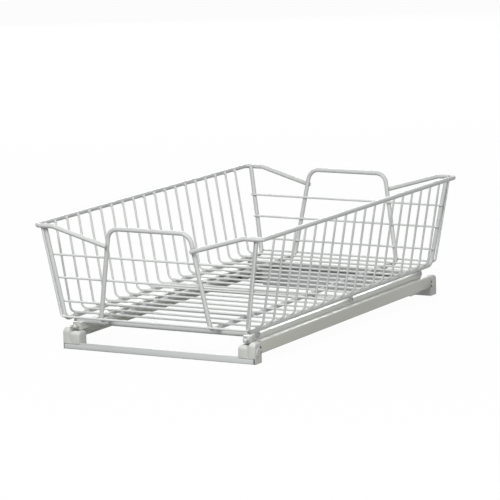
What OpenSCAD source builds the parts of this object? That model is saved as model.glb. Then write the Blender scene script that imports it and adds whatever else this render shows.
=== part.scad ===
// Pull out cabinet basket: a coated wire basket on a steel slide base.
// Millimetres. +Z is up, +X is to the right, the basket pulls out along -Y.
// The origin lies on the cabinet floor under the centre of the basket.

/* [Basket] */
// Distance from one cross wire to the next
wire_pitch = 25.4; // [24:0.1:27]
// Diameter of the thin wires
wire_d = 2.6; // [2.2:0.1:3.2]
// Diameter of the heavy rods: rims, corner frames and handle loop
rod_d = 5.2; // [4.6:0.1:6]
// Half width of the basket at the rim, to the cross wires
half_w_top = 142; // [138:0.5:148]
// Half width of the basket at its floor, to the cross wires
half_w_floor = 124.4; // [122:0.2:126]
// Height of the rim rods above the cabinet floor
rim_z = 144.8; // [125:0.5:160]
// Height of the handle's top bar above the cabinet floor
handle_z = 145.3; // [135:0.5:165]

/* [Slide base] */
// Half width of the base over its tracks
base_half_w = 124.5; // [124.5:0.5:128]
// Distance from the origin to the front face of the base
base_front = 235; // [232:0.5:240]
// Distance from the origin to the rear face of the base
base_rear = 240; // [236:0.5:246]
// Height of the base bar's front face
bar_h = 8; // [6.8:0.1:9]
// Travel of the basket from home to its stop
travel = 360; // [250:5:370]
// Diameter of the mounting screw holes
screw_d = 4.5; // [3.5:0.1:5.5]

/* [Rollers] */
// Diameter of the front rollers, under the runners
front_roller_d = 12; // [10:0.5:12]
// Diameter of the rear rollers, inside the tracks
rear_roller_d = 12; // [11:0.1:12]
// Diameter of the roller pins
pin_d = 3; // [2.5:0.1:3.2]

/* [Hidden] */
$fn = 40;
wires = 20;
weld = 0.1;                    // how far welded wires sink into each other
seat = 0.3;                    // how far a straight length starts inside a bend
neck = 0.02;                   // how much thinner it is, so that the bend's end closes over it
fit = 0.1;                     // gap between pieces that plug together
run = 0.3;                     // gap beside faces that roll or slide
pin_gap = 0.05;                // radial clearance of a roller on its pin
sheet = 1.2;                   // steel sheet thickness

wire_r = wire_d / 2;
rod_r = rod_d / 2;

// Track: a C section, open towards the basket's middle
track_w = 8;
track_z0 = 9.8;
track_z1 = 24.8;
track_in = base_half_w - track_w;
block_len = 15.5;
track_y0 = -(base_front - block_len);
track_y1 = base_rear - block_len;

// Runner: a folded channel whose lower flange rides on the front rollers
runner_out = track_in - 0.5;
runner_w = 11;
runner_in = runner_out - runner_w;
runner_mid = runner_out - runner_w / 2;
runner_z1 = track_z1 + 5.6;
runner_under = runner_z1 - sheet;
outer_web_z0 = track_z1 + 0.4;
inner_web_z0 = 21.6;
lower_flange_w = 8.5;
runner_y0 = -(base_front - 8.5);
runner_y1 = 208;
nose_d = 5.6;
nose_out = 5.3;
arm_y0 = 184;
arm_y1 = 214;

// Cross tubes and the rods that lie on them
tube_d = 7;
tube_bore = 4.6;
tube_z = runner_z1 - 0.1;
tube_half = runner_out + 3.5;
tube_ys = [-215, 18, 207];
rod_z = tube_z + tube_d / 2 + rod_r - weld;
floor_z = rod_z + rod_r + wire_r - weld;

// Rollers and their pins
front_roller_w = 5.2;
front_roller_x = runner_mid + 0.3;
front_roller_y = -(base_front - 13.5);
front_roller_z = inner_web_z0 - run - front_roller_d / 2;
rear_roller_w = 5.2;
rear_roller_x = runner_out + 0.4 + rear_roller_w / 2;
rear_roller_y = 196;
rear_roller_z = (track_z0 + track_z1) / 2;
pin_r = pin_d / 2;
pin_head_r = 2.6;
pin_head_t = 0.8;

// Where the stop tab meets the front roller at the end of the travel
tab_t = sheet;
tab_z0 = 17.5;
tab_x0 = runner_in + 3;
tab_w = 4;
tab_half = sqrt(pow(front_roller_d / 2, 2) - pow(tab_z0 - front_roller_z, 2));
tab_y = front_roller_y + tab_half + 0.4 + travel;

// Corner blocks
lobe_top = track_z1 + 0.2;
inner_lobe_top = inner_web_z0 - 0.6;
block_in = base_half_w - 21.5;
inner_lobe_out = block_in + 11;
pocket_in = front_roller_x - front_roller_w / 2 - run - pin_head_t - 0.3;
pocket_out = front_roller_x + front_roller_w / 2 + 1.2;
pocket_wall = 5;
pocket_z0 = front_roller_z - front_roller_d / 2 - 0.5;
tongue_h = 6.3;
tongue_x = base_half_w - 1.5;
slit_w = 0.8;
slit_depth = 5;
lobe_round = 3.8;
tenon_len = 14;

// Corner frames and handle loop: their legs lean out in the same two planes
leg_lean = 0.0872;
leg_y_floor = 239.03;
frame_x_floor = half_w_floor - 6.6;
frame_x_rim = half_w_top - 5.7;
loop_x_floor = 71;
loop_x_top = 52;
leg_bend = 8.5;
loop_bend = 14;
wire_lean = (half_w_top - half_w_floor) / (rim_z - floor_z);
wire_bend = 6.5;
rim_x = half_w_top + (wire_r + rod_r - weld) / cos(atan(wire_lean));
rim_bend = 7;
// the posts touch the rim on the inside of its corner bends
rim_touch = rim_bend - (2 * rod_r - weld);
rim_post_dx = max(0, frame_x_rim - (rim_x - rim_bend));
rim_y = leg_y(rim_z) + rim_bend - sqrt(pow(rim_touch, 2) - pow(rim_post_dx, 2));
rim_dip_x = 123;
rim_end_z = rim_z - 20.2;
rim_end_x = loop_x(rim_end_z) - rod_r - 1.4;
rim_end_y = leg_y(rim_end_z) + (2 * rod_r - weld / 2) / cos(atan(leg_lean));
face_wire_zs = [110.7, 84, 56.3];

// End wires: they cross the outside of the legs' bends and rise beside the posts
leg_bend_y = leg_y_floor - leg_bend * tan((90 - atan(leg_lean)) / 2);
end_wire_reach = leg_bend + rod_r + wire_r - weld;
end_wire_drop = [27, 22.5];    // where they touch the front and rear bends, below level
end_wire_spread = [0.8, 2];    // how far their corners stand past the posts
end_wire_bend = 4;
end_wire_top = rim_z - rod_r + 0.4;

function leg_y(z) = leg_y_floor + leg_lean * (z - rod_z);
function loop_x(z) = loop_x_floor - (loop_x_floor - loop_x_top) * (z - rod_z) / (handle_z - rod_z);
function frame_x(z) = frame_x_floor + (frame_x_rim - frame_x_floor) * (z - rod_z) / (rim_z - rod_z);
function wire_y(i) = (i - (wires - 1) / 2) * wire_pitch;
function unit(v) = v / norm(v);

// ---- bent wire -------------------------------------------------------------

// Puts its children in a frame with axes u, v, w and origin o
module placed(u, v, w, o)
    multmatrix([
        [u.x, v.x, w.x, o.x],
        [u.y, v.y, w.y, o.y],
        [u.z, v.z, w.z, o.z],
        [0, 0, 0, 1]
    ]) children();

// Straight stretch of round rod from a to b
module stretch(a, b, d) {
    w = unit(b - a);
    u = unit(cross(abs(w.z) < 0.8 ? [0, 0, 1] : [1, 0, 0], w));
    placed(u, cross(w, u), w, a) cylinder(h = norm(b - a), d = d);
}

// Rounded corner at p between the directions in and out
module corner(p, in, out, radius, d) {
    turn = acos(in * out);
    toward = unit(out - (in * out) * in);
    start = p - in * radius * tan(turn / 2);
    n = unit(cross(in, out));
    placed(-toward, cross(n, -toward), n, start + toward * radius)
        rotate_extrude(angle = turn) translate([radius, 0]) circle(d = d);
}

// How much of each side of corner i the bend takes up
function bite(p, radii, i, closed) =
    !closed && (i == 0 || i == len(p) - 1) ? 0
    : let (a = unit(p[i] - p[(i + len(p) - 1) % len(p)]), b = unit(p[(i + 1) % len(p)] - p[i]))
      radii[i] * tan(acos(a * b) / 2);

// Rod bent along the points p, with a bend radius for each point
module bent_rod(p, radii, d, closed = false) {
    n = len(p);
    for (i = [0 : closed ? n - 1 : n - 2]) {
        j = (i + 1) % n;
        dir = unit(p[j] - p[i]);
        from = max(0, bite(p, radii, i, closed) - seat);
        to = max(0, bite(p, radii, j, closed) - seat);
        stretch(p[i] + dir * from, p[j] - dir * to, d - neck);
    }
    for (i = [closed ? 0 : 1 : closed ? n - 1 : n - 2])
        corner(p[i], unit(p[i] - p[(i + n - 1) % n]), unit(p[(i + 1) % n] - p[i]), radii[i], d);
}

// ---- basket ----------------------------------------------------------------

wire_top = rim_z + rod_r - 0.4;

module end_wire(side) {
    k = side < 0 ? 0 : 1;
    y = side * (leg_bend_y + end_wire_reach * cos(end_wire_drop[k]));
    z = rod_z + leg_bend - end_wire_reach * sin(end_wire_drop[k]);
    x = frame_x_floor + rod_r + end_wire_spread[k];
    gap = rod_r + wire_r + 0.23;
    x_top = frame_x(end_wire_top) + 0.532 * gap;
    y_top = side * (leg_y(end_wire_top) + 0.847 * gap);
    color([0.87, 0.87, 0.86]) bent_rod(
        [[-x_top, y_top, end_wire_top], [-x, y, z], [x, y, z], [x_top, y_top, end_wire_top]],
        [0, end_wire_bend, end_wire_bend, 0], wire_d);
}

module cross_wire(i) {
    y = wire_y(i);
    x_top = half_w_floor + wire_lean * (wire_top - floor_z);
    color([0.87, 0.87, 0.86]) bent_rod(
        [
            [-x_top, y, wire_top],
            [-half_w_floor, y, floor_z],
            [half_w_floor, y, floor_z],
            [x_top, y, wire_top]
        ],
        [0, wire_bend, wire_bend, 0], wire_d);
}

// Wire across the front (side = -1) or the rear (side = 1), inside the legs
module face_wire(side, k) {
    z = face_wire_zs[k];
    y = side * (leg_y(z) - (rod_r + wire_r - weld) / cos(atan(leg_lean)));
    x = frame_x(z) + rod_r;
    color([0.87, 0.87, 0.86]) stretch([-x, y, z], [x, y, z], wire_d);
}

// U shaped rod of one side: post, floor run, post
module frame_wire(side) {
    z = rim_z + rod_r - 0.4;
    x_top = side * frame_x(z);
    x = side * frame_x_floor;
    color([0.88, 0.88, 0.87]) bent_rod(
        [
            [x_top, -leg_y(z), z],
            [x, -leg_y_floor, rod_z],
            [x, leg_y_floor, rod_z],
            [x_top, leg_y(z), z]
        ],
        [0, leg_bend, leg_bend, 0], rod_d);
}

// One closed rod: front handle, two floor runs and rear handle
module handle_loop() {
    xt = loop_x_top;
    xf = loop_x_floor;
    yt = leg_y(handle_z);
    yf = leg_y_floor;
    color([0.88, 0.88, 0.87]) bent_rod(
        [
            [-xt, -yt, handle_z], [xt, -yt, handle_z],
            [xf, -yf, rod_z], [xf, yf, rod_z],
            [xt, yt, handle_z], [-xt, yt, handle_z],
            [-xf, yf, rod_z], [-xf, -yf, rod_z]
        ],
        [
            loop_bend, loop_bend, leg_bend, leg_bend,
            loop_bend, loop_bend, leg_bend, leg_bend
        ],
        rod_d, closed = true);
}

// Rim rod of one side: it dips down to the handles at both ends
module rim(side) {
    xs = side * rim_x;
    xd = side * rim_dip_x;
    xe = side * rim_end_x;
    color([0.88, 0.88, 0.87]) bent_rod(
        [
            [xe, -rim_end_y, rim_end_z], [xd, -rim_y, rim_z], [xs, -rim_y, rim_z],
            [xs, rim_y, rim_z], [xd, rim_y, rim_z], [xe, rim_end_y, rim_end_z]
        ],
        [0, 12, rim_bend, rim_bend, 12, 0], rod_d);
}

// ---- carriage --------------------------------------------------------------

module cross_tube(k)
    color([0.86, 0.86, 0.85]) translate([-tube_half, tube_ys[k], tube_z]) rotate([0, 90, 0])
        difference() {
            cylinder(h = 2 * tube_half, d = tube_d);
            translate([0, 0, -1]) cylinder(h = 2 * tube_half + 2, d = tube_bore);
        }

module runner_shape() {
    difference() {
        union() {
            // folded strip: top, outer web, inner web, lower flange
            translate([runner_in, runner_y0, runner_under])
                cube([runner_w, runner_y1 - runner_y0, sheet]);
            translate([runner_out - sheet, runner_y0, outer_web_z0])
                cube([sheet, runner_y1 - runner_y0, runner_z1 - outer_web_z0]);
            translate([runner_in, runner_y0, inner_web_z0])
                cube([sheet, runner_y1 - runner_y0, runner_z1 - inner_web_z0]);
            translate([runner_in, runner_y0, inner_web_z0])
                cube([lower_flange_w, runner_y1 - runner_y0, sheet]);
            // arm that carries the rear roller
            translate([runner_out, 0, 0]) rotate([0, -90, 0]) linear_extrude(sheet)
                polygon([
                    [outer_web_z0, arm_y0 - 14], [11.3, arm_y0], [11.3, runner_y1 - 6],
                    [16, arm_y1], [24, arm_y1 + 2], [runner_z1, runner_y1 + 1], [runner_z1, arm_y0 - 14]
                ]);
            // stop tab pressed down from the lower flange
            translate([tab_x0, tab_y, tab_z0]) cube([tab_w, tab_t, inner_web_z0 + sheet - tab_z0]);
        }
        // half round seats for the cross tubes
        for (y = tube_ys)
            translate([runner_in - 1, y, tube_z]) rotate([0, 90, 0])
                cylinder(h = runner_w + 2, r = tube_d / 2 + 0.02);
        // rivet hole
        translate([runner_out - sheet - 1, rear_roller_y, rear_roller_z]) rotate([0, 90, 0])
            cylinder(h = sheet + 2, r = pin_r + 0.02);
        // window left by the pressed tab
        translate([tab_x0, tab_y + tab_t, inner_web_z0 - 1]) cube([tab_w, 4.2, sheet + 2]);
    }
}

module nose_bumper_shape() {
    // plug between the webs, then a short neck and the round nose
    translate([runner_in + sheet + fit, runner_y0 + 0.6, inner_web_z0 + sheet + fit])
        cube([runner_w - 2 * sheet - 2 * fit, 6, runner_under - inner_web_z0 - sheet - 2 * fit]);
    translate([runner_mid, runner_y0 - nose_out, runner_under - 2.4]) {
        sphere(d = nose_d, $fn = 36);
        rotate([-90, 0, 0]) cylinder(h = nose_out + 1, d = nose_d - 1.4);
    }
}

// Roller lying along X, centred on its own middle
module roller_shape(d, w)
    rotate([0, 90, 0]) difference() {
        rotate_extrude() polygon([
            [0, -w / 2], [d / 2 - 0.5, -w / 2], [d / 2, -w / 2 + 0.5],
            [d / 2, w / 2 - 0.5], [d / 2 - 0.5, w / 2], [0, w / 2]
        ]);
        translate([0, 0, -w]) cylinder(h = 2 * w, r = pin_r + pin_gap);
        // dished faces
        for (end = [-1, 1])
            translate([0, 0, end * w / 2]) rotate_extrude() polygon([
                [pin_head_r + 0.6, -0.6], [d / 2 - 1.4, -0.6],
                [d / 2 - 1.4, 0.6], [pin_head_r + 0.6, 0.6]
            ]);
    }

module rear_rivet_shape()
    translate([runner_out - sheet - 1, rear_roller_y, rear_roller_z]) rotate([0, 90, 0]) {
        cylinder(h = 1, r = pin_head_r);
        cylinder(h = sheet + 1 + 0.4 + rear_roller_w + run, r = pin_r);
        translate([0, 0, sheet + 1.4 + rear_roller_w + run]) cylinder(h = pin_head_t, r = pin_head_r);
    }

module front_axle_shape()
    translate([front_roller_x - front_roller_w / 2 - run - pin_head_t, front_roller_y, front_roller_z])
        rotate([0, 90, 0]) {
            cylinder(h = pin_head_t, r = pin_head_r);
            cylinder(h = 14.4, r = pin_r);
        }

// ---- base ------------------------------------------------------------------

module track_shape() {
    len_y = track_y1 - track_y0;
    translate([track_in, track_y0, track_z0]) cube([track_w, len_y, sheet]);
    translate([track_in, track_y0, track_z1 - sheet]) cube([track_w, len_y, sheet]);
    translate([base_half_w - sheet, track_y0, track_z0]) cube([sheet, len_y, track_z1 - track_z0]);
}

// Outline of a block's lobe seen from the side: flat foot, rounded top
module lobe_outline(depth, top, r)
    union() {
        square([depth, top - r]);
        translate([r, 0]) square([depth - 2 * r, top]);
        for (x = [r, depth - r]) translate([x, top - r]) circle(r = r);
    }

// Stands a side outline up across X, from x0 over the width w
module across(x0, w)
    translate([x0, 0, 0]) rotate([90, 0, 90]) linear_extrude(w) children();

// Stands an outline up across the block, from its front face over the depth d
module along(d)
    rotate([90, 0, 0]) mirror([0, 0, 1]) linear_extrude(d) children();

// Outer lobe, rounded over its top in both directions
module outer_lobe()
    intersection() {
        across(track_in, track_w) lobe_outline(block_len, lobe_top, 6.5);
        along(block_len) translate([track_in, 0]) lobe_outline(track_w, lobe_top, lobe_round);
    }

// Corner moulding, its front face on y = 0 and its depth towards +Y
module block_shape(bored) {
    axle_y = base_front + front_roller_y;
    difference() {
        union() {
            // foot under both lobes
            translate([block_in, 0, 0]) cube([base_half_w - block_in, block_len, 7]);
            // outer lobe that closes the track
            outer_lobe();
            // swelling low on the outer side
            translate([base_half_w - 0.6, 7.2, 12.6]) rotate([0, 90, 0]) cylinder(h = 1.4, r = 4.8);
            // inner lobe under the runner
            intersection() {
                across(block_in, inner_lobe_out - block_in) lobe_outline(block_len, inner_lobe_top, 5);
                along(block_len) translate([block_in, 0])
                    lobe_outline(inner_lobe_out - block_in, inner_lobe_top, 3.5);
            }
            // bridge between the lobes
            translate([inner_lobe_out - 1, 3, 0]) cube([track_in - inner_lobe_out + 2, block_len - 3, 19]);
            // tenon inside the track
            translate([track_in + 1, block_len - 1, track_z0 + sheet + fit])
                cube([track_w - 1 - sheet - fit, tenon_len + 1, track_z1 - track_z0 - 2 * sheet - 2 * fit]);
        }
        // pocket for the roller, open to the top and to the rear
        translate([pocket_in, pocket_wall, pocket_z0])
            cube([pocket_out - pocket_in, block_len, lobe_top]);
        // step in the front face for the bar's tongue
        translate([block_in - 1, -1, -1]) cube([tongue_x + fit - block_in + 1, 1 + sheet + fit, tongue_h + 0.2 + 1]);
        // slit past the end of the tongue, behind a thin outer skin
        translate([tongue_x, -1, -1]) cube([slit_w, slit_depth + 1, tongue_h + 1.2]);
        // bore for the roller pin
        if (bored)
            translate([pocket_out - 1, axle_y, front_roller_z]) rotate([0, 90, 0])
                cylinder(h = base_half_w - pocket_out - 1.9, r = pin_r + 0.02);
        // sink holes on the outer side
        for (z = [12, 17.5])
            translate([base_half_w - 1.9, block_len - 1.9, z]) rotate([0, 90, 0]) cylinder(h = 4, r = 1.3);
    }
}

module front_block_shape() translate([0, -base_front, 0]) block_shape(true);
module rear_block_shape() translate([0, base_rear, 0]) mirror([0, 1, 0]) block_shape(false);

screw_x = 80;
upstand_h = 26;
upstand_y = base_rear - 28;
front_screw_y = -(base_front - 7.6);
rear_screw_y = base_rear - 12.6;

// Bar face with its two tongues, the outside on y = 0
module bar_face() {
    translate([-block_in + fit, 0, 0]) cube([2 * (block_in - fit), sheet, bar_h]);
    translate([-tongue_x, 0, 0]) cube([2 * tongue_x, sheet, tongue_h]);
}

module screw_holes(y)
    for (x = [-screw_x, screw_x]) translate([x, y, -1]) cylinder(h = sheet + 2, d = screw_d);

module front_bar()
    color([0.80, 0.81, 0.80]) difference() {
        union() {
            translate([0, -base_front, 0]) bar_face();
            translate([-block_in + fit, -base_front, 0]) cube([2 * (block_in - fit), 14, sheet]);
        }
        screw_holes(front_screw_y);
    }

module rear_bar()
    color([0.78, 0.79, 0.78]) difference() {
        union() {
            translate([0, base_rear, 0]) mirror([0, 1, 0]) bar_face();
            translate([-block_in + fit, upstand_y, 0])
                cube([2 * (block_in - fit), base_rear - upstand_y, sheet]);
            // upstand behind the carriage
            translate([-block_in + fit, upstand_y, 0]) cube([2 * (block_in - fit), sheet, upstand_h]);
        }
        screw_holes(rear_screw_y);
    }

// ---- handed pieces ---------------------------------------------------------

module on_side(side)
    if (side > 0) children();
    else mirror([1, 0, 0]) children();

module track(side) color([0.66, 0.67, 0.62]) on_side(side) track_shape();
module runner(side) color([0.82, 0.82, 0.80]) on_side(side) runner_shape();
module nose_bumper(side) color([0.88, 0.88, 0.85]) on_side(side) nose_bumper_shape();
module front_block(side) color([0.84, 0.84, 0.81]) on_side(side) front_block_shape();
module rear_block(side) color([0.84, 0.84, 0.81]) on_side(side) rear_block_shape();
module front_roller(side)
    color([0.93, 0.93, 0.91]) on_side(side)
        translate([front_roller_x, front_roller_y, front_roller_z])
            roller_shape(front_roller_d, front_roller_w);
module rear_roller(side)
    color([0.93, 0.93, 0.91]) on_side(side)
        translate([rear_roller_x, rear_roller_y, rear_roller_z])
            roller_shape(rear_roller_d, rear_roller_w);
module front_roller_axles()
    color([0.62, 0.63, 0.64]) for (side = [-1, 1]) on_side(side) front_axle_shape();
module rear_roller_rivets()
    color([0.62, 0.63, 0.64]) for (side = [-1, 1]) on_side(side) rear_rivet_shape();

// ---- the pieces ------------------------------------------------------------

track(-1);  // left_track
track(1);  // right_track
front_bar();
rear_bar();
front_block(-1);  // front_left_block
front_block(1);  // front_right_block
rear_block(-1);  // rear_left_block
rear_block(1);  // rear_right_block
front_roller_axles();
front_roller(-1);  // front_left_roller
front_roller(1);  // front_right_roller
rear_roller(-1);  // rear_left_roller
rear_roller(1);  // rear_right_roller
rear_roller_rivets();
runner(-1);  // left_runner
runner(1);  // right_runner
nose_bumper(-1);  // left_nose_bumper
nose_bumper(1);  // right_nose_bumper
cross_tube(0);  // front_cross_tube
cross_tube(1);  // middle_cross_tube
cross_tube(2);  // rear_cross_tube
frame_wire(-1);  // left_frame_wire
frame_wire(1);  // right_frame_wire
handle_loop();
rim(-1);  // left_rim
rim(1);  // right_rim
face_wire(-1, 0);  // front_face_wire_1
face_wire(-1, 1);  // front_face_wire_2
face_wire(-1, 2);  // front_face_wire_3
face_wire(1, 0);  // rear_face_wire_1
face_wire(1, 1);  // rear_face_wire_2
face_wire(1, 2);  // rear_face_wire_3
end_wire(-1);  // cross_wire_01
cross_wire(1);  // cross_wire_02
cross_wire(2);  // cross_wire_03
cross_wire(3);  // cross_wire_04
cross_wire(4);  // cross_wire_05
cross_wire(5);  // cross_wire_06
cross_wire(6);  // cross_wire_07
cross_wire(7);  // cross_wire_08
cross_wire(8);  // cross_wire_09
cross_wire(9);  // cross_wire_10
cross_wire(10);  // cross_wire_11
cross_wire(11);  // cross_wire_12
cross_wire(12);  // cross_wire_13
cross_wire(13);  // cross_wire_14
cross_wire(14);  // cross_wire_15
cross_wire(15);  // cross_wire_16
cross_wire(16);  // cross_wire_17
cross_wire(17);  // cross_wire_18
cross_wire(18);  // cross_wire_19
end_wire(1);  // cross_wire_20
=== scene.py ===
"""Pull out cabinet basket: coated wire basket, runners, tracks, rollers and corner mouldings."""

import math
import random

import bmesh
import bpy
from mathutils import Matrix, Vector


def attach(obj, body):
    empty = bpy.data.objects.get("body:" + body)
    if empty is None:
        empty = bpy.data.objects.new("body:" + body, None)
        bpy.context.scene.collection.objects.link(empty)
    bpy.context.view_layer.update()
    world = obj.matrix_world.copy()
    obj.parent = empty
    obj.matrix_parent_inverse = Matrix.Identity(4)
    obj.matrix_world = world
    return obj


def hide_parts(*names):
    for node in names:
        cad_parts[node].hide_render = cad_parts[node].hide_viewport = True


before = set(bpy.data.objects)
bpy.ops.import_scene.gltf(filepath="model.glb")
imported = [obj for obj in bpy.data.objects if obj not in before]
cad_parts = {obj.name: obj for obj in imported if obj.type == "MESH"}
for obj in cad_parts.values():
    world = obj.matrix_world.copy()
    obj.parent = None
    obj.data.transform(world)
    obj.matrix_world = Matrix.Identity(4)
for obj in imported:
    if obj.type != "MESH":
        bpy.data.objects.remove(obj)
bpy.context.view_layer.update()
mm = 0.001
x_axis, y_axis, z_axis = 0, 1, 2
hand_name = {-1: "left", 1: "right"}
end_name = {-1: "front", 1: "rear"}

# ---- sizes and places, in millimetres ----------------------------------------

wire_r = 1.3
rod_r = 2.6
wires = 20
wire_pitch = 25.4
half_w_top = 142.0
half_w_floor = 124.4
rim_z = 144.8
handle_z = 145.3
rod_z = 36.3
floor_z = 40.1
weld = 0.1
leg_lean = 0.0872
leg_y_floor = 239.03
loop_x_floor = 71.0
loop_x_top = 52.0
frame_in_floor = 6.6
frame_in_rim = 5.7
frame_x_floor = half_w_floor - frame_in_floor
frame_x_rim = half_w_top - frame_in_rim
leg_bend = 8.5
loop_bend = 14.0
wire_bend = 6.5
rim_bend = 7.0
rim_dip_bend = 12.0
rim_dip_x = 123.0
rim_end_drop = 20.2
rim_end_gap = 1.4
rim_end_z = rim_z - rim_end_drop
wire_lean = (half_w_top - half_w_floor) / (rim_z - floor_z)
rim_x = half_w_top + (wire_r + rod_r - weld) / math.cos(math.atan(wire_lean))
wire_end_in = 0.4
wire_top = rim_z + rod_r - wire_end_in
face_wire_zs = (110.7, 84.0, 56.3)
tube_ys = (-215.0, 18.0, 207.0)
runner_in = 105.0
runner_out = 116.0
runner_z1 = 30.4
inner_web_z0 = 21.6
outer_web_z0 = 25.2
sheet = 1.2
track_out = 124.5
track_z0 = 9.8
track_z1 = 24.8
block_len = 15.5
tongue_x = 123.0
tongue_h = 6.3
slit_w = 0.8
base_front = 235.0
base_rear = 240.0


def leg_y(z):
    return leg_y_floor + leg_lean * (z - rod_z)


def loop_x(z):
    return loop_x_floor - (loop_x_floor - loop_x_top) * (z - rod_z) / (handle_z - rod_z)


def frame_x(z):
    return frame_x_floor + (frame_x_rim - frame_x_floor) * (z - rod_z) / (rim_z - rod_z)


def wire_y(i):
    return (i - (wires - 1) / 2) * wire_pitch


# the end wires cross the legs' bends and rise beside the posts; -1 is the front one, 1 the rear one
leg_bend_y = leg_y_floor - leg_bend * math.tan((math.pi / 2 - math.atan(leg_lean)) / 2)
end_wire_reach = leg_bend + rod_r + wire_r - weld
end_wire_drop = {-1: math.radians(27.0), 1: math.radians(22.5)}
end_wire_spread = {-1: 0.8, 1: 2.0}
end_wire_bend = 4.0
end_wire_top = rim_z - rod_r + wire_end_in
end_wire_gap = 0.23
end_wire_aside = 0.532
end_wire_out = 0.847

rim_touch = rim_bend - (2 * rod_r - weld)
rim_post_dx = max(0.0, frame_x_rim - (rim_x - rim_bend))
rim_y = leg_y(rim_z) + rim_bend - math.sqrt(rim_touch**2 - rim_post_dx**2)
rim_end_x = loop_x(rim_end_z) - rod_r - rim_end_gap
rim_end_y = leg_y(rim_end_z) + (2 * rod_r - weld / 2) / math.cos(math.atan(leg_lean))

# ---- camera ------------------------------------------------------------------

camera_azimuth = math.radians(28.35)
camera_height_angle = math.radians(9.489)
camera_roll = math.radians(-1.203)
camera_distance = 3873.0
camera_target = Vector((5.92, -22.22, 88.95))
focal_px = 3286.0
frame_px = 500.0
sensor_width = 36.0


def place_camera():
    a, e, r = camera_azimuth, camera_height_angle, camera_roll
    forward = Vector((-math.sin(a) * math.cos(e), math.cos(a) * math.cos(e), -math.sin(e)))
    right = Vector((math.cos(a), math.sin(a), 0.0))
    up = right.cross(forward)
    right, up = (
        right * math.cos(r) + up * math.sin(r),
        up * math.cos(r) - right * math.sin(r),
    )
    data = bpy.data.cameras.new("camera")
    data.sensor_fit = "HORIZONTAL"
    data.sensor_width = sensor_width
    data.lens = focal_px / frame_px * sensor_width
    data.clip_start = 0.1
    data.clip_end = 100.0
    camera = bpy.data.objects.new("camera", data)
    bpy.context.scene.collection.objects.link(camera)
    turn = Matrix((right, up, -forward)).transposed().to_4x4()
    camera.matrix_world = Matrix.Translation((camera_target - forward * camera_distance) * mm) @ turn
    bpy.context.scene.camera = camera


place_camera()

# ---- nodes that the materials use --------------------------------------------


def tone(r, g, b):
    """Display colour 0..255 as a linear colour."""
    def lin(c):
        c /= 255.0
        return c / 12.92 if c <= 0.04045 else ((c + 0.055) / 1.055) ** 2.4
    return (lin(r), lin(g), lin(b), 1.0)


def group_node(tree, group, **values):
    node = tree.nodes.new("ShaderNodeGroup")
    node.node_tree = group
    for name, value in values.items():
        node.inputs[name.replace("_", " ")].default_value = value
    return node


def new_group(name, inputs, outputs):
    group = bpy.data.node_groups.new(name, "ShaderNodeTree")
    for label, kind, value in inputs:
        socket = group.interface.new_socket(label, in_out="INPUT", socket_type=kind)
        if value is not None:
            socket.default_value = value
    for label, kind in outputs:
        group.interface.new_socket(label, in_out="OUTPUT", socket_type=kind)
    return group, group.nodes.new("NodeGroupInput"), group.nodes.new("NodeGroupOutput")


def math_node(tree, operation, a, b=None, clamp=False):
    node = tree.nodes.new("ShaderNodeMath")
    node.operation = operation
    node.use_clamp = clamp
    for socket, value in zip(node.inputs, (a, b)):
        if value is None:
            continue
        if isinstance(value, (int, float)):
            socket.default_value = value
        else:
            tree.links.new(value, socket)
    return node.outputs[0]


def mix_tone(tree, mask, a, b):
    node = tree.nodes.new("ShaderNodeMix")
    node.data_type = "RGBA"
    for socket, value in ((node.inputs[0], mask), (node.inputs[6], a), (node.inputs[7], b)):
        if hasattr(value, "is_linked"):
            tree.links.new(value, socket)
        else:
            socket.default_value = value
    return node.outputs[2]


def noise(tree, vector, scale, detail=2.0, rough=0.5):
    node = tree.nodes.new("ShaderNodeTexNoise")
    node.inputs["Detail"].default_value = detail
    node.inputs["Roughness"].default_value = rough
    tree.links.new(vector, node.inputs["Vector"])
    if isinstance(scale, (int, float)):
        node.inputs["Scale"].default_value = scale
    else:
        tree.links.new(scale, node.inputs["Scale"])
    return node.outputs["Fac"]


def build_coat_skin():
    """Fluid coat: a slow drift in tone, fine orange peel and a little drift in gloss."""
    group, gin, gout = new_group(
        "coat_skin",
        [
            ("Vector", "NodeSocketVector", None),
            ("Drift Scale", "NodeSocketFloat", 18.0),
            ("Peel Scale", "NodeSocketFloat", 900.0),
            ("Gloss", "NodeSocketFloat", 0.34),
            ("Gloss Drift", "NodeSocketFloat", 0.10),
        ],
        [("Drift", "NodeSocketFloat"), ("Roughness", "NodeSocketFloat"), ("Peel", "NodeSocketFloat")],
    )
    vector = gin.outputs["Vector"]
    drift = noise(group, vector, gin.outputs["Drift Scale"], detail=3.0)
    peel = noise(group, vector, gin.outputs["Peel Scale"], detail=1.0)
    centred = math_node(group, "SUBTRACT", drift, 0.5)
    swing = math_node(group, "MULTIPLY", centred, gin.outputs["Gloss Drift"])
    rough = math_node(group, "ADD", gin.outputs["Gloss"], swing, clamp=True)
    group.links.new(drift, gout.inputs["Drift"])
    group.links.new(rough, gout.inputs["Roughness"])
    group.links.new(peel, gout.inputs["Peel"])
    return group


def build_dust_and_top_light():
    """Paler patches on what faces up: thin dust, and painted top light where the tops are lit."""
    group, gin, gout = new_group(
        "dust_and_top_light",
        [
            ("Vector", "NodeSocketVector", None),
            ("Normal", "NodeSocketVector", None),
            ("Amount", "NodeSocketFloat", 0.3),
        ],
        [("Mask", "NodeSocketFloat")],
    )
    split = group.nodes.new("ShaderNodeSeparateXYZ")
    group.links.new(gin.outputs["Normal"], split.inputs[0])
    up = math_node(group, "MAXIMUM", split.outputs["Z"], 0.0)
    patchy = noise(group, gin.outputs["Vector"], scale=60.0, detail=4.0, rough=0.6)
    patchy_tops = math_node(group, "MULTIPLY", math_node(group, "POWER", up, 2.0), patchy)
    mask = math_node(group, "MULTIPLY", patchy_tops, gin.outputs["Amount"], clamp=True)
    group.links.new(mask, gout.inputs["Mask"])
    return group


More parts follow.
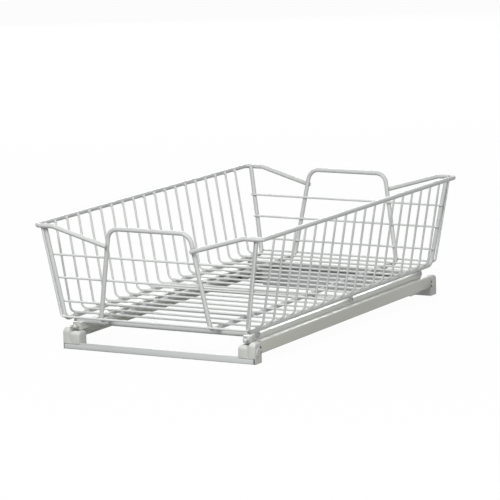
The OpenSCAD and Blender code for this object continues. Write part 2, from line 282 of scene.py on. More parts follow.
def build_tool_grain():
    """Fine matt texture of a moulding tool, with faint flow marks."""
    group, gin, gout = new_group(
        "tool_grain",
        [
            ("Vector", "NodeSocketVector", None),
            ("Grain Scale", "NodeSocketFloat", 2600.0),
            ("Flow Scale", "NodeSocketFloat", 60.0),
        ],
        [("Grain", "NodeSocketFloat"), ("Flow", "NodeSocketFloat")],
    )
    vector = gin.outputs["Vector"]
    grain = noise(group, vector, gin.outputs["Grain Scale"])
    flow = noise(group, vector, gin.outputs["Flow Scale"], rough=0.4)
    group.links.new(grain, gout.inputs["Grain"])
    group.links.new(flow, gout.inputs["Flow"])
    return group


coat_skin = build_coat_skin()
dust_and_top_light = build_dust_and_top_light()
tool_grain = build_tool_grain()

# ---- materials ---------------------------------------------------------------

# pale tone for what faces up: dust, and painted top light
dust_and_top_light_tone = tone(251, 251, 248)


def start_material(name):
    material = bpy.data.materials.new(name)
    material.use_nodes = True
    tree = material.node_tree
    tree.nodes.clear()
    shader = tree.nodes.new("ShaderNodeBsdfPrincipled")
    out = tree.nodes.new("ShaderNodeOutputMaterial")
    tree.links.new(shader.outputs[0], out.inputs[0])
    place = tree.nodes.new("ShaderNodeTexCoord")
    return material, tree, shader, place.outputs["Object"]


def dusted_and_top_lit(tree, where, colour, amount):
    """The colour, paler on what faces up: dust, and painted top light."""
    dust_and_top_light_node = group_node(tree, dust_and_top_light, Amount=amount)
    face = tree.nodes.new("ShaderNodeNewGeometry")
    tree.links.new(where, dust_and_top_light_node.inputs["Vector"])
    tree.links.new(face.outputs["Normal"], dust_and_top_light_node.inputs["Normal"])
    return mix_tone(tree, dust_and_top_light_node.outputs["Mask"], colour, dust_and_top_light_tone)


def add_bump(tree, shader, height, strength, distance):
    """Bump of the given strength; its distance is in metres."""
    bump = tree.nodes.new("ShaderNodeBump")
    bump.inputs["Strength"].default_value = strength
    bump.inputs["Distance"].default_value = distance
    tree.links.new(height, bump.inputs["Height"])
    tree.links.new(bump.outputs[0], shader.inputs["Normal"])


def coated_steel(name, light, shade, gloss, dust_and_top_light_amount, peel=900.0, specular=0.5):
    """Light grey coat on wire, tube or sheet."""
    material, tree, shader, where = start_material(name)
    skin = group_node(tree, coat_skin, Peel_Scale=peel, Gloss=gloss)
    tree.links.new(where, skin.inputs["Vector"])
    body = mix_tone(tree, skin.outputs["Drift"], tone(*shade), tone(*light))
    tree.links.new(dusted_and_top_lit(tree, where, body, dust_and_top_light_amount), shader.inputs["Base Color"])
    tree.links.new(skin.outputs["Roughness"], shader.inputs["Roughness"])
    shader.inputs["Specular IOR Level"].default_value = specular
    add_bump(tree, shader, skin.outputs["Peel"], strength=0.25, distance=0.00004)
    return material


def moulded_plastic(name, light, shade, gloss, dust_and_top_light_amount=0.3, grain=2600.0):
    """Off-white moulding with tool grain."""
    material, tree, shader, where = start_material(name)
    texture = group_node(tree, tool_grain, Grain_Scale=grain)
    tree.links.new(where, texture.inputs["Vector"])
    body = mix_tone(tree, texture.outputs["Flow"], tone(*shade), tone(*light))
    tree.links.new(dusted_and_top_lit(tree, where, body, dust_and_top_light_amount), shader.inputs["Base Color"])
    gloss_swing = 0.12
    drift = math_node(tree, "MULTIPLY", texture.outputs["Flow"], gloss_swing)
    tree.links.new(math_node(tree, "ADD", drift, gloss), shader.inputs["Roughness"])
    shader.inputs["Subsurface Weight"].default_value = 0.06
    shader.inputs["Subsurface Radius"].default_value = (0.002, 0.0018, 0.0014)
    shader.inputs["Subsurface Scale"].default_value = 1.0
    add_bump(tree, shader, texture.outputs["Grain"], strength=0.2, distance=0.00003)
    return material


def plated_steel(name, light, shade, gloss):
    """Bright zinc on turned pins."""
    material, tree, shader, where = start_material(name)
    skin = group_node(
        tree, coat_skin, Drift_Scale=220.0, Peel_Scale=3000.0, Gloss=gloss, Gloss_Drift=0.2
    )
    tree.links.new(where, skin.inputs["Vector"])
    body = mix_tone(tree, skin.outputs["Drift"], tone(*shade), tone(*light))
    tree.links.new(body, shader.inputs["Base Color"])
    tree.links.new(skin.outputs["Roughness"], shader.inputs["Roughness"])
    shader.inputs["Metallic"].default_value = 0.9
    add_bump(tree, shader, skin.outputs["Peel"], strength=0.2, distance=0.00002)
    return material


rod_coat = coated_steel(
    "rod_coat", (205, 207, 205), (195, 197, 196), gloss=0.40, dust_and_top_light_amount=0.08, specular=0.4
)
wire_coat = coated_steel(
    "wire_coat", (216, 218, 216), (206, 208, 207), gloss=0.42, dust_and_top_light_amount=0.10, peel=1400.0, specular=0.35
)
tube_coat = coated_steel(
    "tube_coat", (204, 206, 204), (194, 196, 195), gloss=0.42, dust_and_top_light_amount=0.12, specular=0.35
)
# the runner's and track's large amounts turn their tops near white: painted top light more than dust
runner_coat = coated_steel(
    "runner_coat", (210, 212, 206), (201, 203, 197), gloss=0.33, dust_and_top_light_amount=1.7
)
track_coat = coated_steel(
    "track_coat", (201, 203, 193), (192, 194, 183), gloss=0.24, dust_and_top_light_amount=2.2
)
bar_coat = coated_steel(
    "bar_coat", (203, 205, 205), (195, 198, 197), gloss=0.44, dust_and_top_light_amount=0.6, specular=0.35
)
# painted shade: the rear bar's coat is a darker copy of the front bar's, for the rear bar lies in shade
# under the basket
shaded_rear_bar_coat = coated_steel(
    "shaded_rear_bar_coat", (184, 187, 186), (176, 179, 178), gloss=0.46, dust_and_top_light_amount=0.5, specular=0.3
)
block_moulding = moulded_plastic(
    "block_moulding", (203, 204, 200), (194, 196, 191), gloss=0.40, dust_and_top_light_amount=0.7
)
# painted shade: a dark tone for faces inside holes and slits, where only shade falls
painted_hollow_shade = moulded_plastic(
    "painted_hollow_shade", (70, 70, 66), (58, 58, 54), gloss=0.6
)
bumper_moulding = moulded_plastic(
    "bumper_moulding", (224, 225, 221), (216, 217, 212), gloss=0.42
)
roller_nylon = moulded_plastic(
    "roller_nylon", (229, 229, 224), (220, 220, 214), gloss=0.30, grain=1500.0
)
pin_zinc = plated_steel(
    "pin_zinc", (196, 197, 200), (176, 178, 182), gloss=0.33
)

# ---- bent wire, made along its path ------------------------------------------

end_rounding = 0.35
end_rings = 6


def tree_with(name, inputs):
    tree = bpy.data.node_groups.new(name, "GeometryNodeTree")
    tree.interface.new_socket("Geometry", in_out="INPUT", socket_type="NodeSocketGeometry")
    for label, kind, value in inputs:
        socket = tree.interface.new_socket(label, in_out="INPUT", socket_type=kind)
        if value is not None:
            socket.default_value = value
    tree.interface.new_socket("Geometry", in_out="OUTPUT", socket_type="NodeSocketGeometry")
    return tree, tree.nodes.new("NodeGroupInput"), tree.nodes.new("NodeGroupOutput")


def named_attribute(tree, name, kind):
    node = tree.nodes.new("GeometryNodeInputNamedAttribute")
    node.data_type = kind
    node.inputs["Name"].default_value = name
    return node.outputs["Attribute"]


def end_tree(tree, gin, gout, last):
    """The end of each tree: instances made real, shaded smooth and given the material."""
    real = tree.nodes.new("GeometryNodeRealizeInstances")
    tree.links.new(last.outputs[0], real.inputs[0])
    smooth = tree.nodes.new("GeometryNodeSetShadeSmooth")
    tree.links.new(real.outputs[0], smooth.inputs[0])
    paint = tree.nodes.new("GeometryNodeSetMaterial")
    tree.links.new(smooth.outputs[0], paint.inputs[0])
    tree.links.new(gin.outputs["Material"], paint.inputs["Material"])
    tree.links.new(paint.outputs[0], gout.inputs[0])


def build_bent_rod_tree():
    """Turns a path of corners into round rod: bends, then the skin, then rounded cut ends."""
    tree, gin, gout = tree_with(
        "bent_rod",
        [
            ("Rod Radius", "NodeSocketFloat", rod_r * mm),
            ("Sides", "NodeSocketInt", 20),
            ("Bend Steps", "NodeSocketInt", 10),
            ("End Rounding", "NodeSocketFloat", end_rounding),
            ("Material", "NodeSocketMaterial", None),
        ],
    )
    nodes, links = tree.nodes, tree.links
    path = nodes.new("GeometryNodeMeshToCurve")
    links.new(gin.outputs["Geometry"], path.inputs[0])
    bends = nodes.new("GeometryNodeFilletCurve")
    bends.mode = "POLY"
    links.new(path.outputs[0], bends.inputs["Curve"])
    links.new(gin.outputs["Bend Steps"], bends.inputs["Count"])
    links.new(named_attribute(tree, "bend", "FLOAT"), bends.inputs["Radius"])
    ring = nodes.new("GeometryNodeCurvePrimitiveCircle")
    links.new(gin.outputs["Sides"], ring.inputs["Resolution"])
    links.new(gin.outputs["Rod Radius"], ring.inputs["Radius"])
    skin = nodes.new("GeometryNodeCurveToMesh")
    skin.inputs["Fill Caps"].default_value = True
    links.new(bends.outputs[0], skin.inputs["Curve"])
    links.new(ring.outputs[0], skin.inputs["Profile Curve"])
    # cut ends, closed over by the coat: a flattened ball on each
    ends = nodes.new("GeometryNodeCurveEndpointSelection")
    tangent = nodes.new("GeometryNodeInputTangent")
    align = nodes.new("FunctionNodeAlignRotationToVector")
    align.axis = "Z"
    links.new(tangent.outputs[0], align.inputs["Vector"])
    ball = nodes.new("GeometryNodeMeshUVSphere")
    ball.inputs["Rings"].default_value = end_rings
    links.new(gin.outputs["Sides"], ball.inputs["Segments"])
    links.new(gin.outputs["Rod Radius"], ball.inputs["Radius"])
    flat = nodes.new("ShaderNodeCombineXYZ")
    flat.inputs[0].default_value = 1.0
    flat.inputs[1].default_value = 1.0
    links.new(gin.outputs["End Rounding"], flat.inputs[2])
    put = nodes.new("GeometryNodeInstanceOnPoints")
    links.new(bends.outputs[0], put.inputs["Points"])
    links.new(ends.outputs[0], put.inputs["Selection"])
    links.new(ball.outputs["Mesh"], put.inputs["Instance"])
    links.new(align.outputs[0], put.inputs["Rotation"])
    links.new(flat.outputs[0], put.inputs["Scale"])
    join = nodes.new("GeometryNodeJoinGeometry")
    links.new(put.outputs[0], join.inputs[0])
    links.new(skin.outputs[0], join.inputs[0])
    end_tree(tree, gin, gout, join)
    return tree


def build_weld_bead_tree():
    """Puts a small coated bead on every point, turned and sized by its own attributes."""
    tree, gin, gout = tree_with(
        "weld_beads",
        [
            ("Around", "NodeSocketInt", 10),
            ("Rings", "NodeSocketInt", 6),
            ("Material", "NodeSocketMaterial", None),
        ],
    )
    nodes, links = tree.nodes, tree.links
    ball = nodes.new("GeometryNodeMeshUVSphere")
    ball.inputs["Radius"].default_value = 1.0
    links.new(gin.outputs["Around"], ball.inputs["Segments"])
    links.new(gin.outputs["Rings"], ball.inputs["Rings"])
    put = nodes.new("GeometryNodeInstanceOnPoints")
    links.new(gin.outputs["Geometry"], put.inputs["Points"])
    links.new(ball.outputs["Mesh"], put.inputs["Instance"])
    links.new(named_attribute(tree, "turn", "FLOAT_VECTOR"), put.inputs["Rotation"])
    links.new(named_attribute(tree, "size", "FLOAT_VECTOR"), put.inputs["Scale"])
    end_tree(tree, gin, gout, put)
    return tree


bent_rod_tree = build_bent_rod_tree()
weld_bead_tree = build_weld_bead_tree()


def grown(name, source_mesh, tree, values):
    """Runs a geometry tree over a mesh and keeps the result as a plain mesh object."""
    seed = bpy.data.objects.new(name + "_path", source_mesh)
    bpy.context.scene.collection.objects.link(seed)
    modifier = seed.modifiers.new("grow", "NODES")
    modifier.node_group = tree
    sockets = {s.name: s.identifier for s in tree.interface.items_tree if s.in_out == "INPUT"}
    for label, value in values.items():
        modifier[sockets[label]] = value
    graph = bpy.context.evaluated_depsgraph_get()
    mesh = bpy.data.meshes.new_from_object(
        seed.evaluated_get(graph), preserve_all_data_layers=False, depsgraph=graph
    )
    seed.modifiers.remove(modifier)
    bpy.data.objects.remove(seed)
    mesh.name = name
    piece = bpy.data.objects.new(name, mesh)
    bpy.context.scene.collection.objects.link(piece)
    return piece


def bent_rod(node, corners, bends, radius, material, slot, sides, steps, closed=False):
    """Rod through the corners, standing in for its CAD node."""
    mesh = bpy.data.meshes.new(node + "_path")
    count = len(corners)
    edges = [(i, i + 1) for i in range(count - 1)] + ([(count - 1, 0)] if closed else [])
    mesh.from_pydata([Vector(p) * mm for p in corners], edges, [])
    bend = mesh.attributes.new("bend", "FLOAT", "POINT")
    for item, value in zip(bend.data, bends):
        item.value = value * mm
    piece = grown(
        node + "_coated", mesh, bent_rod_tree,
        {"Rod Radius": radius * mm, "Sides": sides, "Bend Steps": steps, "Material": material},
    )
    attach(piece, "carriage")
    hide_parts(node)
    return piece


def shortened(a, b, cut):
    """End a of the line a-b, pulled in by cut."""
    a, b = Vector(a), Vector(b)
    return a + (b - a).normalized() * cut


# ---- the basket --------------------------------------------------------------

thin_wire = {
    "radius": wire_r, "material": wire_coat, "slot": "coated_wire", "sides": 16, "steps": 8
}
heavy_rod = {
    "radius": rod_r, "material": rod_coat, "slot": "coated_rod", "sides": 24, "steps": 12
}
handle_rod = {**heavy_rod, "steps": 14}

# a path stops short of the CAD end by the rounding, and by what is ground off the tips
end_cut_wire = end_rounding * wire_r
end_cut_rod = end_rounding * rod_r
wire_grind = 1.2
rim_grind = 2.6


def make_cross_wire(i):
    y = wire_y(i)
    x = half_w_floor + wire_lean * (wire_top - floor_z)
    left, right = (-half_w_floor, y, floor_z), (half_w_floor, y, floor_z)
    left_top = shortened((-x, y, wire_top), left, end_cut_wire + wire_grind)
    right_top = shortened((x, y, wire_top), right, end_cut_wire + wire_grind)
    bent_rod(
        f"cross_wire_{i + 1:02d}",
        [left_top, left, right, right_top],
        [0, wire_bend, wire_bend, 0],
        **thin_wire,
    )


def end_wire_points(side):
    """Corners of the first (side -1) or last (side 1) cross wire, right half: top and floor."""
    drop = end_wire_drop[side]
    floor_y = side * (leg_bend_y + end_wire_reach * math.cos(drop))
    low_z = rod_z + leg_bend - end_wire_reach * math.sin(drop)
    gap = rod_r + wire_r + end_wire_gap
    top_x = frame_x(end_wire_top) + end_wire_aside * gap
    top_y = side * (leg_y(end_wire_top) + end_wire_out * gap)
    return (top_x, top_y, end_wire_top), (frame_x_floor + rod_r + end_wire_spread[side], floor_y, low_z)


def make_end_wire(side):
    top, floor = end_wire_points(side)
    bent_rod(
        "cross_wire_01" if side < 0 else f"cross_wire_{wires:02d}",
        [(-top[0], *top[1:]), (-floor[0], *floor[1:]), floor, top],
        [0, end_wire_bend, end_wire_bend, 0],
        **thin_wire,
    )


def face_wire_y(z):
    return leg_y(z) - (rod_r + wire_r - weld) / math.cos(math.atan(leg_lean))


def make_face_wire(side, k):
    z = face_wire_zs[k]
    x = frame_x(z) + rod_r - end_cut_wire
    y = side * face_wire_y(z)
    bent_rod(f"{end_name[side]}_face_wire_{k + 1}", [(-x, y, z), (x, y, z)], [0, 0], **thin_wire)


def make_frame_wire(side):
    z = wire_top
    x = side * frame_x_floor
    front, rear = (x, -leg_y_floor, rod_z), (x, leg_y_floor, rod_z)
    front_top = shortened((side * frame_x(z), -leg_y(z), z), front, end_cut_rod)
    rear_top = shortened((side * frame_x(z), leg_y(z), z), rear, end_cut_rod)
    bent_rod(
        f"{hand_name[side]}_frame_wire",
        [front_top, front, rear, rear_top],
        [0, leg_bend, leg_bend, 0],
        **heavy_rod,
    )


def make_handle_loop():
    xt, xf, yt, yf = loop_x_top, loop_x_floor, leg_y(handle_z), leg_y_floor
    bent_rod(
        "handle_loop",
        [
            (-xt, -yt, handle_z), (xt, -yt, handle_z), (xf, -yf, rod_z), (xf, yf, rod_z),
            (xt, yt, handle_z), (-xt, yt, handle_z), (-xf, yf, rod_z), (-xf, -yf, rod_z),
        ],
        [loop_bend, loop_bend, leg_bend, leg_bend] * 2,
        **handle_rod,
        closed=True,
    )


def make_rim(side):
    xs, xd, xe = side * rim_x, side * rim_dip_x, side * rim_end_x
    front_dip, rear_dip = (xd, -rim_y, rim_z), (xd, rim_y, rim_z)
    front_end = shortened((xe, -rim_end_y, rim_end_z), front_dip, end_cut_rod + rim_grind)
    rear_end = shortened((xe, rim_end_y, rim_end_z), rear_dip, end_cut_rod + rim_grind)
    bent_rod(
        f"{hand_name[side]}_rim",
        [front_end, front_dip, (xs, -rim_y, rim_z), (xs, rim_y, rim_z), rear_dip, rear_end],
        [0, rim_dip_bend, rim_bend, rim_bend, rim_dip_bend, 0],
        **heavy_rod,
    )


for i in range(1, wires - 1):
    make_cross_wire(i)
for k in range(len(face_wire_zs)):
    make_face_wire(-1, k)
    make_face_wire(1, k)
for side in (-1, 1):
    make_end_wire(side)
    make_frame_wire(side)
    make_rim(side)
make_handle_loop()

# ---- weld beads --------------------------------------------------------------

bead_rng = random.Random(7)
bead_swing = 0.08
beads = []

# each size is along the wire, across it and from wire to wire
crossing_bead_size = (1.25 * rod_r, 1.15 * wire_r, 0.55 * wire_r)
rim_bead_size = (2.1, 1.15 * wire_r, 0.6 * wire_r)
rim_bead_x = rim_x - 0.9 * rod_r
rim_bead_z = rim_z - 0.9
end_wire_bead_size = (1.7, 1.7, 0.8)
end_wire_bead_up = 0.1
tube_bead_size = (2.9, 2.3, 0.9)


def add_bead(place, along, normal, size):
    """One bead: along is the crossing wire's direction, normal the way from wire to wire."""
    z = Vector(normal).normalized()
    x = Vector(along)
    x = (x - z * x.dot(z)).normalized()
    turn = Matrix((x, z.cross(x), z)).transposed().to_euler()
    swell = 1 + bead_rng.uniform(-bead_swing, bead_swing)
    beads.append((Vector(place) * mm, turn, Vector(size) * mm * swell))


def add_crossing_bead(on_rod, on_wire):
    """Bead where a wire that runs along x lies on a rod: between the two centre lines."""
    rod_at, wire_at = Vector(on_rod), Vector(on_wire)
    gap = (wire_at - rod_at).normalized()
    add_bead(rod_at + gap * rod_r, (1, 0, 0), gap, crossing_bead_size)


def bead_cross_wire(y):
    for side in (-1, 1):
        for x in (side * loop_x_floor, side * frame_x_floor):
            add_crossing_bead((x, y, rod_z), (x, y, floor_z))
        add_bead(
            (side * rim_bead_x, y, rim_bead_z), (side * wire_lean, 0, 1), (-side, 0, 0), rim_bead_size
        )


def bead_end_wire(end):
    top, floor = end_wire_points(end)
    drop = end_wire_drop[end]
    rod_y = end * (leg_bend_y + leg_bend * math.cos(drop))
    bend_z = rod_z + leg_bend - leg_bend * math.sin(drop)
    for side in (-1, 1):
        for x in (side * loop_x(bend_z), side * frame_x(bend_z)):
            add_crossing_bead((x, rod_y, bend_z), (x, floor[1], floor[2]))
        place = (side * top[0], top[1], top[2] + end_wire_bead_up)
        add_bead(place, (0, 1, 0), (0, 0, 1), end_wire_bead_size)


def bead_face_wire(end, z):
    for side in (-1, 1):
        for x in (side * frame_x(z), side * loop_x(z)):
            add_crossing_bead((x, end * leg_y(z), z), (x, end * face_wire_y(z), z))


def bead_tube(y):
    for side in (-1, 1):
        for x in (side * loop_x_floor, side * frame_x_floor):
            add_bead((x, y, rod_z - rod_r), (0, 1, 0), (0, 0, 1), tube_bead_size)


def make_weld_beads():
    for i in range(1, wires - 1):
        bead_cross_wire(wire_y(i))
    for end in (-1, 1):
        bead_end_wire(end)
    for end in (-1, 1):
        for z in face_wire_zs:
            bead_face_wire(end, z)
    for y in tube_ys:
        bead_tube(y)
    mesh = bpy.data.meshes.new("bead_points")
    mesh.from_pydata([place for place, _, _ in beads], [], [])
    turn_data = mesh.attributes.new("turn", "FLOAT_VECTOR", "POINT").data
    size_data = mesh.attributes.new("size", "FLOAT_VECTOR", "POINT").data
    for i, (_, turn, size) in enumerate(beads):
        turn_data[i].vector = turn
        size_data[i].vector = size
    piece = grown("weld_beads", mesh, weld_bead_tree, {"Around": 10, "Rings": 6, "Material": rod_coat})
    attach(piece, "carriage")


make_weld_beads()

# ---- sheet, moulded and turned pieces: the CAD form with eased edges -----------

# in metres: what counts as one point, as lying on a fold, and as pinched to nothing
same_point = 1e-6
on_fold_line = 1e-5
pinched = 2e-7

flat_angle = math.radians(0.6)
crease_angle = math.radians(32.0)
fold_steps = 5


def fold_edges(form, folds):
    """Rounds long edges: each fold is (axis it runs along, {axis: millimetres}, radius)."""
    for along, where, radius in folds:
        chosen = []
        for edge in form.edges:
            ends = [v.co for v in edge.verts]
            on_fold = all(
                abs(p[axis] - at * mm) < on_fold_line for p in ends for axis, at in where.items()
            )
            if on_fold and abs(ends[0][along] - ends[1][along]) > same_point:
                chosen.append(edge)
        if chosen:
            bmesh.ops.bevel(
                form, geom=chosen, offset=radius * mm, segments=fold_steps, profile=0.5,
                affect="EDGES", clamp_overlap=True,
            )


def move_corners(form, low, high, step):
    """Moves every corner inside the box low..high by step, all in millimetres."""
    for vert in form.verts:
        if all(a * mm - same_point <= c <= b * mm + same_point for a, c, b in zip(low, vert.co, high)):
            vert.co += Vector(step) * mm


def add_box(form, low, high):
    """Adds a closed box from low to high, in millimetres."""
    low, high = Vector(low) * mm, Vector(high) * mm
    place = Matrix.Translation((low + high) / 2) @ Matrix.Diagonal((*(high - low), 1.0))
    bmesh.ops.create_cube(form, size=1.0, matrix=place)


def paint_shade_in_hollows(mesh, hollows, painted_shade_boxes):
    """Painted shade: darkens the faces whose middle lies in a hollow, and closes slits with dark boxes
    of painted shade.
    """
    mesh.materials.append(painted_hollow_shade)
    for polygon in mesh.polygons:
        for low, high in hollows:
            if all(a * mm <= c <= b * mm for a, c, b in zip(low, polygon.center, high)):
                polygon.material_index = 1
    form = bmesh.new()
    form.from_mesh(mesh)
    for low, high in painted_shade_boxes:
        old = set(form.faces)
        add_box(form, low, high)
        for face in form.faces:
            if face not in old:
                face.material_index = 1
    form.to_mesh(mesh)
    form.free()


def without_slivers(mesh):
    """Takes out faces that the easing has pinched to nothing, as far as the mesh stays closed."""
    for merge in (pinched, None):
        form = bmesh.new()
        form.from_mesh(mesh)
        if merge:
            bmesh.ops.remove_doubles(form, verts=form.verts, dist=merge)
        bmesh.ops.dissolve_degenerate(form, dist=same_point, edges=form.edges)
        closed = all(edge.is_manifold for edge in form.edges)
        if closed:
            form.to_mesh(mesh)
        form.free()
        if closed:
            return


def folded_copy(node, folds, moves, fills):
    """The CAD node's mesh, merged and flat, with corners moved, folds rounded and boxes added."""
    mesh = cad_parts[node].data.copy()
    mesh.materials.clear()
    form = bmesh.new()
    form.from_mesh(mesh)
    bmesh.ops.remove_doubles(form, verts=form.verts, dist=same_point)
    bmesh.ops.dissolve_limit(form, angle_limit=flat_angle, verts=form.verts, edges=form.edges)
    for low, high, step in moves:
        move_corners(form, low, high, step)
    fold_edges(form, folds)
    for low, high in fills:
        add_box(form, low, high)
    bmesh.ops.recalc_face_normals(form, faces=form.faces)
    form.to_mesh(mesh)
    form.free()
    return mesh


def bevelled(name, mesh, edge, steps):
    """The mesh with its sharp edges eased by edge millimetres."""
    work = bpy.data.objects.new(name, mesh)
    bpy.context.scene.collection.objects.link(work)
    bevel = work.modifiers.new("ease", "BEVEL")
    bevel.width = edge * mm
    bevel.segments = steps
    bevel.limit_method = "ANGLE"
    bevel.angle_limit = crease_angle
    bevel.use_clamp_overlap = True
    bevel.miter_outer = "MITER_ARC"
    graph = bpy.context.evaluated_depsgraph_get()
    done = bpy.data.meshes.new_from_object(work.evaluated_get(graph), depsgraph=graph)
    work.modifiers.remove(bevel)
    bpy.data.objects.remove(work)
    return done


def eased(
    node, body, material, edge, steps=2, folds=(), moves=(), fills=(), hollows=(), painted_shade_boxes=()
):
    """Stands in for a CAD node: its form with folds rounded and sharp edges eased."""
    mesh = bevelled(node + "_work", folded_copy(node, folds, moves, fills), edge, steps)
    without_slivers(mesh)
    mesh.materials.clear()
    mesh.materials.append(material)
    # the faces in the hollows and the added boxes get painted shade
    if hollows:
        paint_shade_in_hollows(mesh, hollows, painted_shade_boxes)
    for polygon in mesh.polygons:
        polygon.use_smooth = True
    mesh.set_sharp_from_angle(angle=crease_angle)
    piece = bpy.data.objects.new(node + "_eased", mesh)
    bpy.context.scene.collection.objects.link(piece)
    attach(piece, body)
    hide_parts(node)
    return piece


# how far edges are eased, and the radii of the folds
sheet_edge = 0.2
block_edge = 0.45
bumper_edge = 0.4
roller_edge = 0.15
tube_edge = 0.3
pin_edge = 0.25
track_low_fold = 1.8
track_top_fold = 1.2
runner_fold = 1.1
bar_fold = 1.6

# the runner's outer web reaches a little below the track's top
web_drop = 1.6
past_runner_ends = 250.0

# tongues of the bars: both let down a little, the front right one shorter
tongue_across = (102.0, 125.0)
tongue_drop = 0.5
tongue_short = 0.9
tongue_end_reach = 0.1

# on the blocks: the groove between the lobes, the slit past the tongue and the sink holes
groove_across = (113.2, 117.2)
groove_depth = (1.0, 4.6)
groove_height = (5.0, 20.2)
# a dark box of painted shade stands in the slit past the tongue on the right blocks
slit_shade_box_gap = 0.04
slit_shade_box_past = 0.4
slit_shade_box_depth = (0.02, 0.5)
slit_shade_box_height = (0.2, tongue_h + 0.9)
sink_hole_across = (track_out - 2.1, track_out - 0.3)
sink_hole_depth = (block_len - 3.3, block_len - 0.5)
sink_hole_zs = (12.0, 17.5)
sink_hole_reach = 1.4

outer_face_y = {"front": -base_front, "rear": base_rear}
inward = {"front": 1, "rear": -1}


def block_box(across, depth, height, side, end):
    """Box given across, in from the block's outer face and up, for the block of that side and end."""
    x0, x1 = sorted(side * x for x in across)
    y0, y1 = sorted(outer_face_y[end] + inward[end] * d for d in depth)
    return (x0, y0, height[0]), (x1, y1, height[1])


def make_track(side):
    folds = [
        (y_axis, {x_axis: side * track_out, z_axis: track_z0}, track_low_fold),
        (y_axis, {x_axis: side * track_out, z_axis: track_z1}, track_top_fold),
    ]
    eased(f"{hand_name[side]}_track", "base", track_coat, sheet_edge, folds=folds)


def make_runner(side):
    folds = [
        (y_axis, {x_axis: side * runner_out, z_axis: runner_z1}, runner_fold),
        (y_axis, {x_axis: side * runner_in, z_axis: runner_z1}, runner_fold),
        (y_axis, {x_axis: side * runner_in, z_axis: inner_web_z0}, runner_fold),
    ]
    x0, x1 = sorted((side * (runner_out - sheet), side * runner_out))
    web_edge = (
        (x0, -past_runner_ends, outer_web_z0), (x1, past_runner_ends, outer_web_z0), (0, 0, -web_drop)
    )
    eased(
        f"{hand_name[side]}_runner", "carriage", runner_coat, sheet_edge,
        folds=folds, moves=[web_edge],
    )


def make_block(side, end):
    groove = block_box(groove_across, groove_depth, groove_height, side, end)
    slit_from = tongue_x - (tongue_short if end == "front" else 0.0) + slit_shade_box_gap
    slit_to = tongue_x + slit_w + slit_shade_box_past
    slit_shade_box = block_box((slit_from, slit_to), slit_shade_box_depth, slit_shade_box_height, side, end)
    sink_holes = [
        block_box(
            sink_hole_across, sink_hole_depth, (z - sink_hole_reach, z + sink_hole_reach), side, end
        )
        for z in sink_hole_zs
    ]
    # painted shade in the sink holes, and on the right blocks in the slit
    eased(
        f"{end}_{hand_name[side]}_block", "base", block_moulding, block_edge, steps=3,
        fills=[groove], hollows=sink_holes, painted_shade_boxes=[slit_shade_box] if side > 0 else [],
    )


def make_roller(side, end):
    name = f"{end}_{hand_name[side]}_roller"
    eased(name, name, roller_nylon, roller_edge)


def make_bar(end, coat):
    face_y = outer_face_y[end]
    y0, y1 = sorted((face_y, face_y + inward[end] * sheet))
    moves = []
    for side in (-1, 1):
        x0, x1 = sorted(side * x for x in tongue_across)
        moves.append(((x0, y0, tongue_h), (x1, y1, tongue_h), (0, 0, -tongue_drop)))
    if end == "front":
        x0, x1 = tongue_x - tongue_end_reach, tongue_x + tongue_end_reach
        moves.append(((x0, y0, 0), (x1, y1, tongue_h), (-tongue_short, 0, 0)))
    eased(
        f"{end}_bar", "base", coat, sheet_edge,
        folds=[(x_axis, {y_axis: face_y, z_axis: 0.0}, bar_fold)], moves=moves,
    )


for side in (-1, 1):
    make_track(side)
    make_runner(side)
    eased(f"{hand_name[side]}_nose_bumper", "carriage", bumper_moulding, bumper_edge)
    for end in ("front", "rear"):
        make_block(side, end)
        make_roller(side, end)
make_bar("front", bar_coat)
# the rear bar in its darker coat: painted shade
make_bar("rear", shaded_rear_bar_coat)
for name in ("front", "middle", "rear"):
    eased(f"{name}_cross_tube", "carriage", tube_coat, tube_edge)
eased("front_roller_axles", "base", pin_zinc, pin_edge)
eased("rear_roller_rivets", "carriage", pin_zinc, pin_edge)

# ---- floor, background and light ---------------------------------------------

floor_half = 12.0
floor_drop = 0.0002
floor_glow_share = 0.965
floor_lit = (0.16, 0.16, 0.16, 1.0)
floor_seen = (0.9, 0.9, 0.9, 1.0)
white = (1.0, 1.0, 1.0, 1.0)
soft_strength = 0.20


def seen_mask(tree):
    """1 for rays that look at the surface, 0 for those that only carry its light."""
    rays = tree.nodes.new("ShaderNodeLightPath")
    seen = math_node(tree, "MAXIMUM", rays.outputs["Is Camera Ray"], rays.outputs["Is Glossy Ray"])
    return math_node(tree, "MAXIMUM", seen, rays.outputs["Is Transmission Ray"])


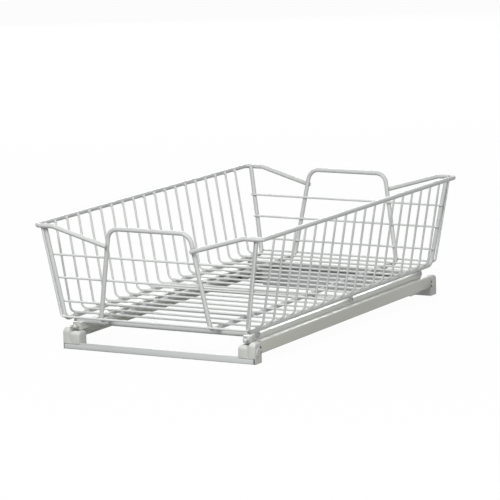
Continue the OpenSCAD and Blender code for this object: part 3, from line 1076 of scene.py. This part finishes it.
def make_floor():
    mesh = bpy.data.meshes.new("floor")
    s = floor_half
    mesh.from_pydata([(-s, -s, 0), (s, -s, 0), (s, s, 0), (-s, s, 0)], [], [(0, 1, 2, 3)])
    floor = bpy.data.objects.new("floor", mesh)
    bpy.context.scene.collection.objects.link(floor)
    floor.location.z = -floor_drop
    material = bpy.data.materials.new("pale_floor")
    material.use_nodes = True
    tree = material.node_tree
    tree.nodes.clear()
    plain = tree.nodes.new("ShaderNodeBsdfDiffuse")
    glow = tree.nodes.new("ShaderNodeEmission")
    glow.inputs["Strength"].default_value = 1.0
    seen = seen_mask(tree)
    mix = tree.nodes.new("ShaderNodeMixShader")
    tree.links.new(math_node(tree, "MULTIPLY", seen, floor_glow_share), mix.inputs[0])
    tree.links.new(mix_tone(tree, seen, floor_lit, floor_seen), plain.inputs["Color"])
    tree.links.new(plain.outputs[0], mix.inputs[1])
    tree.links.new(glow.outputs[0], mix.inputs[2])
    out = tree.nodes.new("ShaderNodeOutputMaterial")
    tree.links.new(mix.outputs[0], out.inputs[0])
    mesh.materials.append(material)


def make_world():
    world = bpy.data.worlds.new("studio")
    bpy.context.scene.world = world
    world.use_nodes = True
    tree = world.node_tree
    tree.nodes.clear()
    soft = tree.nodes.new("ShaderNodeBackground")
    soft.inputs["Color"].default_value = white
    soft.inputs["Strength"].default_value = soft_strength
    plain = tree.nodes.new("ShaderNodeBackground")
    plain.inputs["Color"].default_value = white
    plain.inputs["Strength"].default_value = 1.0
    mix = tree.nodes.new("ShaderNodeMixShader")
    tree.links.new(seen_mask(tree), mix.inputs[0])
    tree.links.new(soft.outputs[0], mix.inputs[1])
    tree.links.new(plain.outputs[0], mix.inputs[2])
    out = tree.nodes.new("ShaderNodeOutputWorld")
    tree.links.new(mix.outputs[0], out.inputs[0])


def area_light(name, place, target, size, power):
    data = bpy.data.lights.new(name, "AREA")
    data.shape = "SQUARE"
    data.size = size
    data.energy = power
    light = bpy.data.objects.new(name, data)
    bpy.context.scene.collection.objects.link(light)
    light.location = place
    light.rotation_euler = (Vector(target) - Vector(place)).to_track_quat("-Z", "Y").to_euler()


make_floor()
make_world()
area_light("key_light", place=(0.2, -2.6, 2.3), target=(0, 0, 0.05), size=1.3, power=87.0)
area_light("side_light", place=(2.7, -1.5, 0.65), target=(0, 0, 0.03), size=1.2, power=34.0)
area_light("back_light", place=(-1.9, 2.9, 1.1), target=(0, 0, 0.05), size=1.4, power=62.0)

bpy.context.scene.view_settings.view_transform = "Standard"
